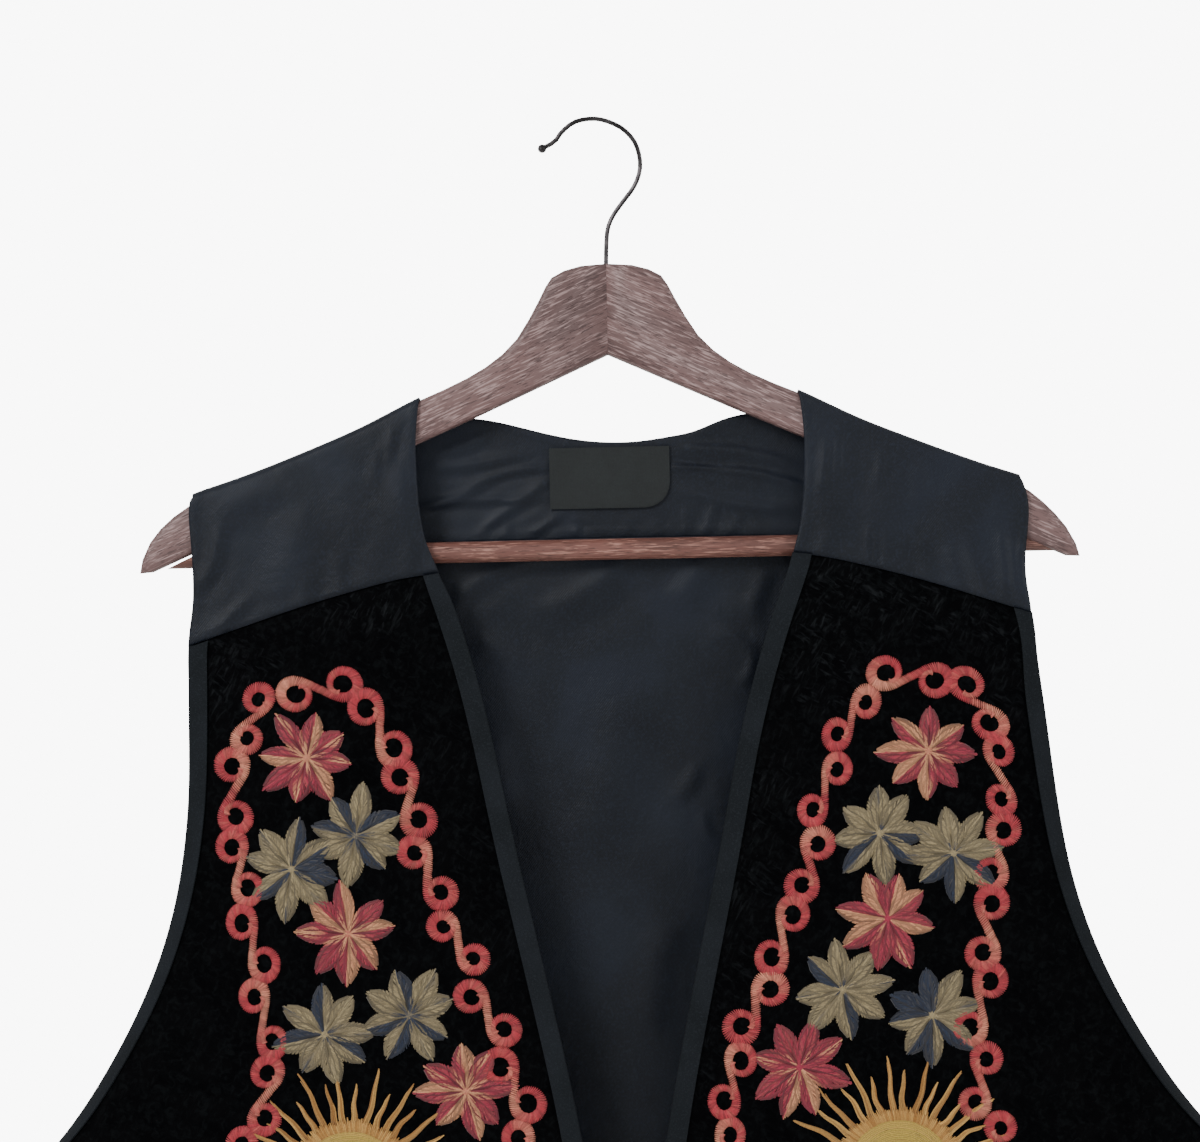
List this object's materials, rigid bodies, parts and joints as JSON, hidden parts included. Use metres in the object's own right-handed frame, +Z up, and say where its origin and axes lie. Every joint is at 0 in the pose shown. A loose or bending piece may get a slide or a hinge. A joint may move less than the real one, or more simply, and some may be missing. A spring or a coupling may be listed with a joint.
{
  "type": "vest on a hanger",
  "caption": "Open-fronted vest with embroidered velvet fronts and satin yokes and back, on a wooden hanger with a wire hook.",
  "frame": {"origin": "under the crown of the hanger's hook, where it rests on a rail", "axes": "+Z up, front of the vest towards -Y, +X on the right of a viewer in front of it"},
  "size_m": [0.573, 0.0452, 0.7377],
  "materials": {
    "satin": "dark navy satin with a soft sheen",
    "velvet": "crushed black velvet",
    "tape": "matt charcoal binding tape",
    "label": "bare dark woven label",
    "thread": "silky embroidery thread in coral, peach, cream, blue and gold",
    "wood": "stained open-grained wood, satin",
    "bar": "reddish stained round bar, satin",
    "wire": "dark gunmetal"
  },
  "bodies": {
    "root": {"hanger_arm_left": "wood", "hanger_arm_right": "wood", "hanger_bar": "bar", "hanger_hook": "wire", "back_yoke": "satin", "back_panel": "satin", "front_yoke_left": "satin", "front_yoke_right": "satin", "front_left": "velvet", "front_right": "velvet", "front_binding_left": "tape", "front_binding_right": "tape", "armhole_binding_left": "tape", "armhole_binding_right": "tape", "hem_binding_left": "tape", "hem_binding_right": "tape", "label": "label"}
  },
  "joints": []
}
